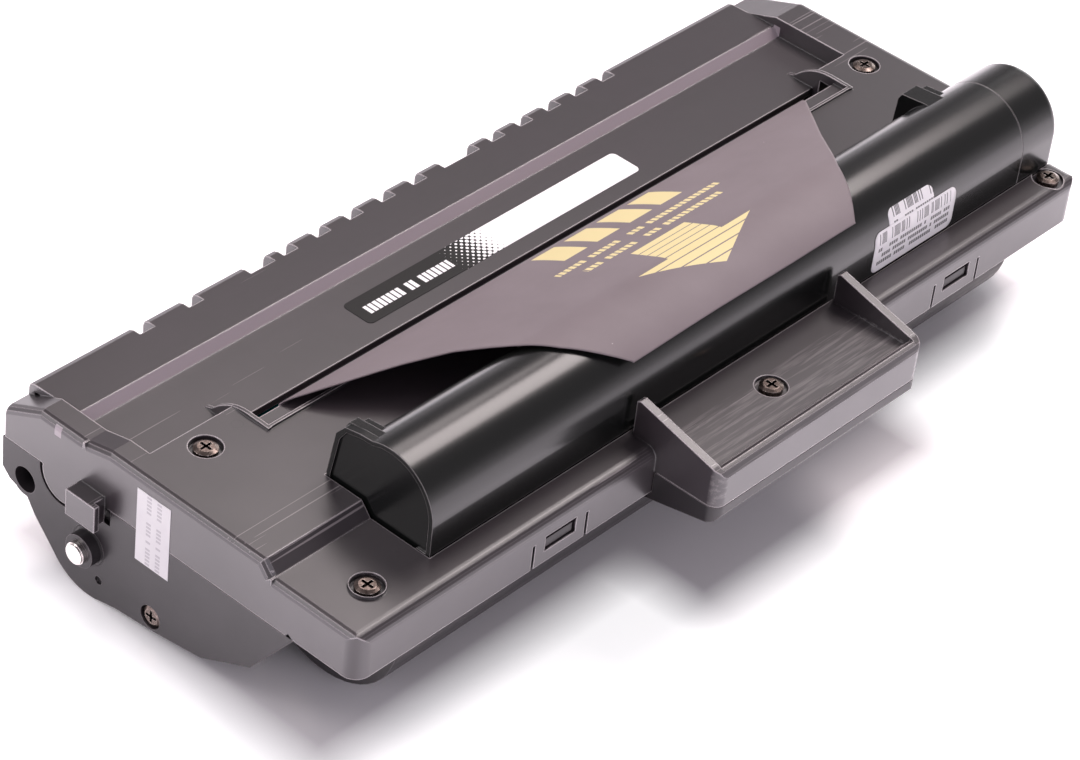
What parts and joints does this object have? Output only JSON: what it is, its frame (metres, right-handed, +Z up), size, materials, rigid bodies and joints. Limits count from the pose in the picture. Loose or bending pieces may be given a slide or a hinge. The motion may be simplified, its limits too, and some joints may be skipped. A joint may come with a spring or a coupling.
{
  "type": "toner cartridge",
  "caption": "Laser printer toner cartridge: ribbed black cover with slot and handle, round toner hopper, drum, rollers and gear train, with a pull-out protective sheet.",
  "frame": {"origin": "middle of the footprint, on the surface that the cartridge stands on", "axes": "+X along the length towards the gear end, -Y towards the handle, +Z up"},
  "size_m": [0.3, 0.1428, 0.0701],
  "materials": {
    "cover_plastic": "black moulded plastic, satin",
    "hopper_plastic": "dark green-black moulded plastic, polished mould",
    "natural_plastic": "natural acetal, as moulded",
    "steel": "plated steel",
    "brass": "bright sheet brass",
    "drum_coat": "organic photoconductor coat on aluminium",
    "roller_rubber": "ground conductive rubber",
    "roller_foam": "open cell foam",
    "sleeve": "coated developing roller",
    "urethane": "clear amber urethane",
    "felt": "pressed felt",
    "film": "polyester film",
    "card": "matt grey-brown card",
    "label": "printed label film"
  },
  "bodies": {
    "housing": {"top_cover": "cover_plastic", "toner_hopper": "hopper_plastic", "hopper_end_cap": "hopper_plastic", "hopper_base": "cover_plastic", "fill_plug": "natural_plastic", "drum_frame": "cover_plastic", "left_end_cap": "cover_plastic", "right_end_cap": "cover_plastic", "drum_shaft": "steel", "left_shaft_bush": "cover_plastic", "right_shaft_bush": "cover_plastic", "charge_bearings": "natural_plastic", "charge_springs": "steel", "cleaning_blade": "urethane", "cleaning_bracket": "steel", "recovery_film": "film", "developer_bushes": "natural_plastic", "developer_felts": "felt", "supply_bushes": "natural_plastic", "doctor_blade": "steel", "doctor_bracket": "steel", "blade_screws": "steel", "agitator_seal": "felt", "idler_pins": "steel", "drum_contact": "brass", "developer_contact": "brass", "supply_contact": "brass", "cover_screws": "steel", "end_cap_screws": "steel", "protective_sheet": "card", "plate_label": "label", "inner_barcode_label": "label", "barcode_label": "label", "end_sticker": "label"},
    "drum": {"opc_drum": "drum_coat", "drum_hub": "natural_plastic", "drum_gear": "natural_plastic", "drum_ground_plate": "brass"},
    "charge_roller": {"charge_roller_shaft": "steel", "charge_roller_sleeve": "roller_rubber"},
    "developer_roller": {"developer_sleeve": "sleeve", "developer_shaft": "steel", "developer_gear": "natural_plastic"},
    "supply_roller": {"supply_foam": "roller_foam", "supply_shaft": "steel", "supply_gear": "natural_plastic"},
    "agitator": {"agitator_shaft": "natural_plastic", "agitator_film": "film", "agitator_gear": "natural_plastic"},
    "lower_idler": {"lower_idler_gear": "natural_plastic"},
    "upper_idler": {"upper_idler_gear": "natural_plastic"}
  },
  "joints": [
    {"name": "drum_turn", "type": "hinge", "parent": "housing", "child": "drum", "pos_m": [0, 0.03925, 0.0158], "axis": [1, 0, 0], "continuous": true},
    {"name": "charge_turn", "type": "hinge", "parent": "housing", "child": "charge_roller", "pos_m": [0, 0.04537, 0.03463], "axis": [1, 0, 0], "continuous": true},
    {"name": "developer_turn", "type": "hinge", "parent": "housing", "child": "developer_roller", "pos_m": [0, 0.01654, 0.01381], "axis": [1, 0, 0], "continuous": true},
    {"name": "supply_turn", "type": "hinge", "parent": "housing", "child": "supply_roller", "pos_m": [0, 0.00205, 0.01203], "axis": [1, 0, 0], "continuous": true},
    {"name": "agitator_turn", "type": "hinge", "parent": "housing", "child": "agitator", "pos_m": [0, -0.02105, 0.0256], "axis": [1, 0, 0], "continuous": true},
    {"name": "lower_idler_turn", "type": "hinge", "parent": "housing", "child": "lower_idler", "pos_m": [0, 0.00521, 0.02567], "axis": [1, 0, 0], "continuous": true},
    {"name": "upper_idler_turn", "type": "hinge", "parent": "housing", "child": "upper_idler", "pos_m": [0, -0.0059, 0.03605], "axis": [1, 0, 0], "continuous": true}
  ],
  "couplings": [
    {"joint": "charge_turn", "follows": "drum_turn", "ratio": -3.3333},
    {"joint": "developer_turn", "follows": "drum_turn", "ratio": -1.4783},
    {"joint": "lower_idler_turn", "follows": "drum_turn", "ratio": 1.8889},
    {"joint": "supply_turn", "follows": "drum_turn", "ratio": -2},
    {"joint": "upper_idler_turn", "follows": "drum_turn", "ratio": -1.7},
    {"joint": "agitator_turn", "follows": "drum_turn", "ratio": 1.3077}
  ]
}
